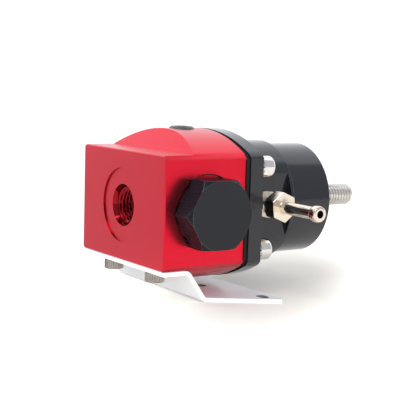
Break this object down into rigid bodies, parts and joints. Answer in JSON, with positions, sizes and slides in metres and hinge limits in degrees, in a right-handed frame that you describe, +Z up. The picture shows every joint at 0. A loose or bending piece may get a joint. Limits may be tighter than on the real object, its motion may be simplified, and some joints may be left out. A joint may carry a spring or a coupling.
{
  "type": "fuel pressure regulator",
  "caption": "Bypass fuel pressure regulator: red ported block with domed back, black flanged spring bonnet, hose nipple, threaded adjuster and folded foot bracket.",
  "frame": {"origin": "midpoint of the two bracket holes, on the underside of the bracket's foot", "axes": "+Z up from the foot, +Y along the regulator's axis from the return port towards the adjuster, +X towards the plugged side port and the nipple"},
  "size_m": [0.0999, 0.115, 0.0641],
  "materials": {
    "red_anodised": "satin red anodised",
    "black_anodised": "satin black anodised",
    "inner_steel": "machined",
    "bright_steel": "bright",
    "nickel_plate": "polished nickel plate",
    "zinc_sheet": "pale zinc plate",
    "rubber": "matte",
    "brass": "machined",
    "dark_steel": "blackened"
  },
  "bodies": {
    "regulator": {"body": "red_anodised", "inlet_plug": "black_anodised", "plug_seal_ring": "rubber", "gauge_plug": "dark_steel", "valve_seat": "brass", "diaphragm": "rubber", "regulator_spring": "inner_steel", "bonnet": "black_anodised", "split_washers": "bright_steel", "bonnet_screws": "bright_steel", "vacuum_nipple": "nickel_plate", "lock_nut": "bright_steel", "mounting_bracket": "zinc_sheet", "bracket_screws": "bright_steel"},
    "valve": {"valve_disc": "inner_steel", "valve_stem": "inner_steel", "lower_plate": "inner_steel", "upper_plate": "inner_steel", "stem_nut": "inner_steel"},
    "spring_seat": {"spring_button": "inner_steel"},
    "adjuster": {"adjusting_screw": "bright_steel"}
  },
  "joints": [
    {"name": "valve_lift", "type": "slide", "parent": "regulator", "child": "valve", "axis": [0, 1, 0], "range_m": [0, 0.0012], "stiffness_N_per_m": 2000, "deforming": ["regulator_spring", "diaphragm"]},
    {"name": "adjuster_travel", "type": "slide", "parent": "regulator", "child": "spring_seat", "axis": [0, 1, 0], "range_m": [-0.00794, 0.00159], "deforming": ["regulator_spring"]},
    {"name": "adjuster_turn", "type": "hinge", "parent": "spring_seat", "child": "adjuster", "pos_m": [0, 0.045, 0.0339], "axis": [0, 1, 0], "range_deg": [-2160, 540]}
  ],
  "couplings": [
    {"joint": "adjuster_turn", "follows": "adjuster_travel", "rad_per_m": 3957.9}
  ]
}
